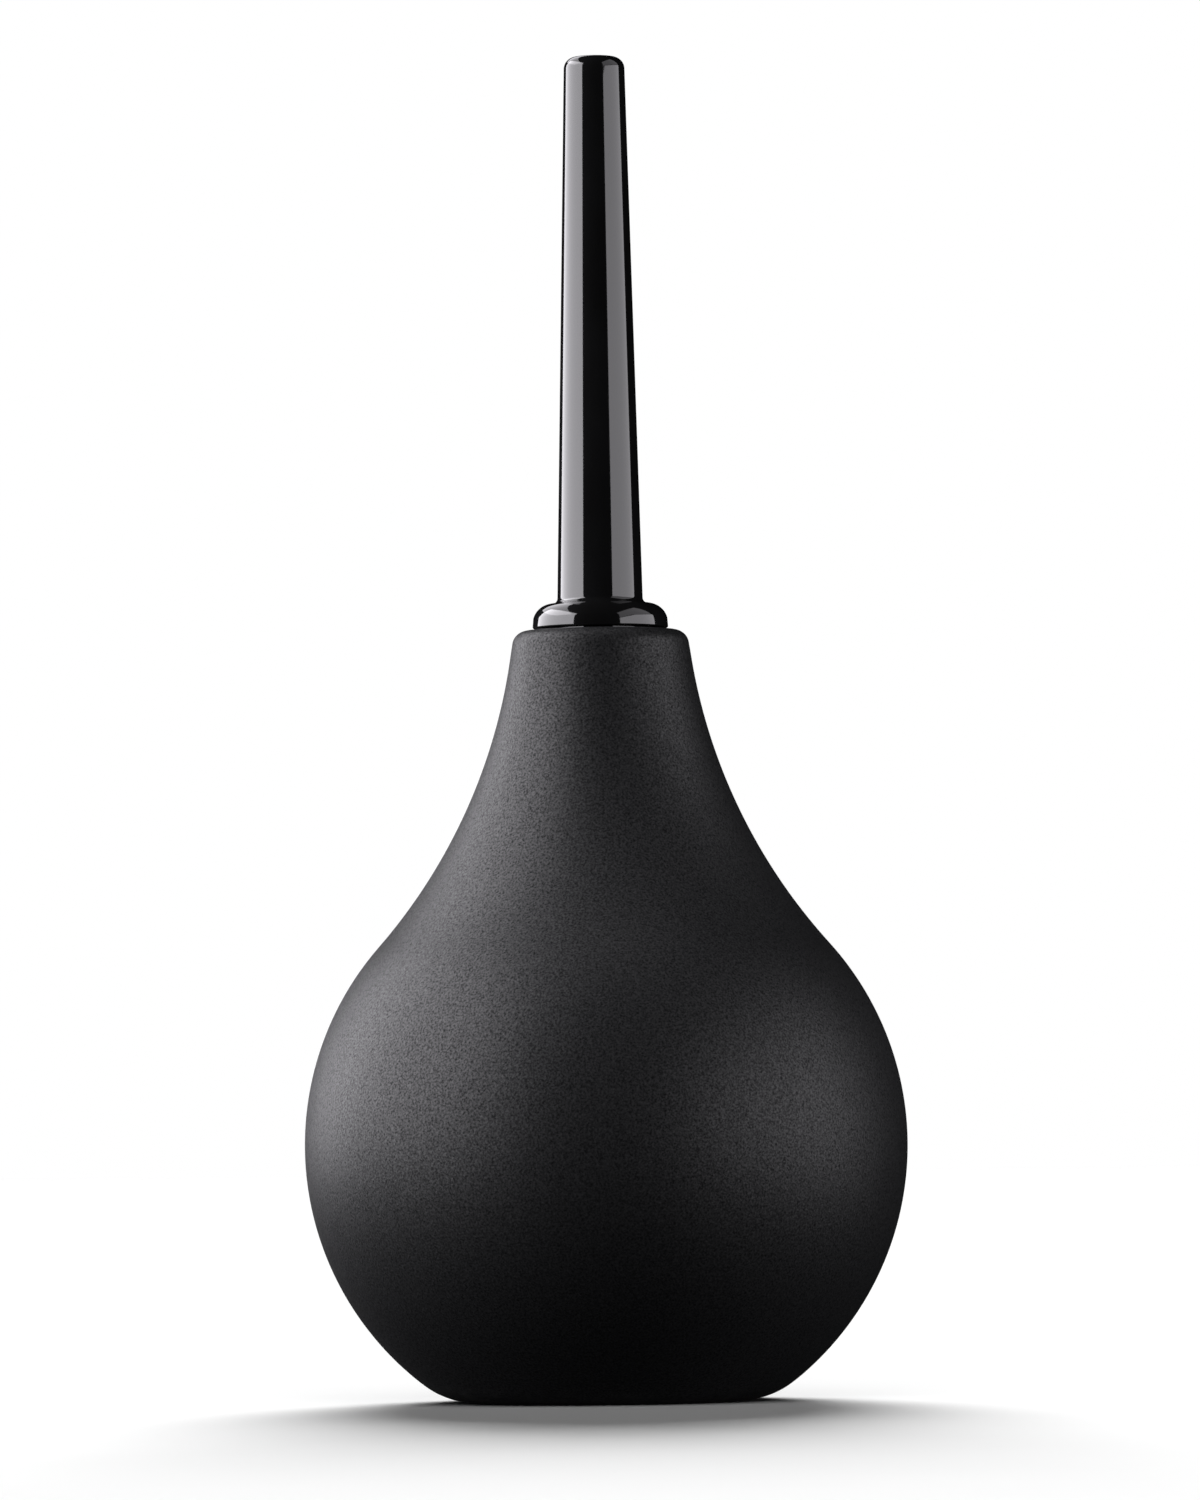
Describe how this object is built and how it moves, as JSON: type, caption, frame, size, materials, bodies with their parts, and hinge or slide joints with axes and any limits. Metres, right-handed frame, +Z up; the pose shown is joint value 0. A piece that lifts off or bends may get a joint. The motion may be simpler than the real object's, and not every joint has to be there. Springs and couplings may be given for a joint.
{
  "type": "dust blower bulb",
  "caption": "Pear-shaped soft rubber blower bulb with a flat foot, a long tapered hard nozzle in its neck and an air intake valve in its foot.",
  "frame": {"origin": "centre of the flat foot, on the surface that the bulb stands on", "axes": "+Z up along the axis of the bulb and nozzle, from the foot to the nozzle's tip; the part is round about Z, so X and Y are equal"},
  "size_m": [0.08, 0.08, 0.1792],
  "materials": {
    "bulb_rubber": "fine matte moulded grain, soft touch",
    "nozzle_gloss": "polished injection moulding",
    "valve_plastic": "satin injection moulding",
    "poppet_silicone": "translucent grey silicone, satin",
    "screen_steel": "perforated stainless sheet"
  },
  "bodies": {
    "bulb": {"bulb": "bulb_rubber"},
    "nozzle": {"nozzle": "nozzle_gloss"},
    "intake_valve": {"valve_housing": "valve_plastic", "valve_cage": "valve_plastic", "dust_screen": "screen_steel", "grille_cap": "valve_plastic"},
    "poppet": {"valve_poppet": "poppet_silicone"}
  },
  "joints": [
    {"name": "nozzle_pull", "type": "slide", "parent": "bulb", "child": "nozzle", "axis": [0, 0, 1], "range_m": [0, 0.025]},
    {"name": "bulb_squeeze", "type": "slide", "parent": "bulb", "child": "intake_valve", "axis": [0, 0, 1], "range_m": [0, 0.025], "stiffness_N_per_m": 800, "deforming": ["bulb"]},
    {"name": "poppet_lift", "type": "slide", "parent": "intake_valve", "child": "poppet", "axis": [0, 0, 1], "range_m": [0, 0.002]}
  ]
}
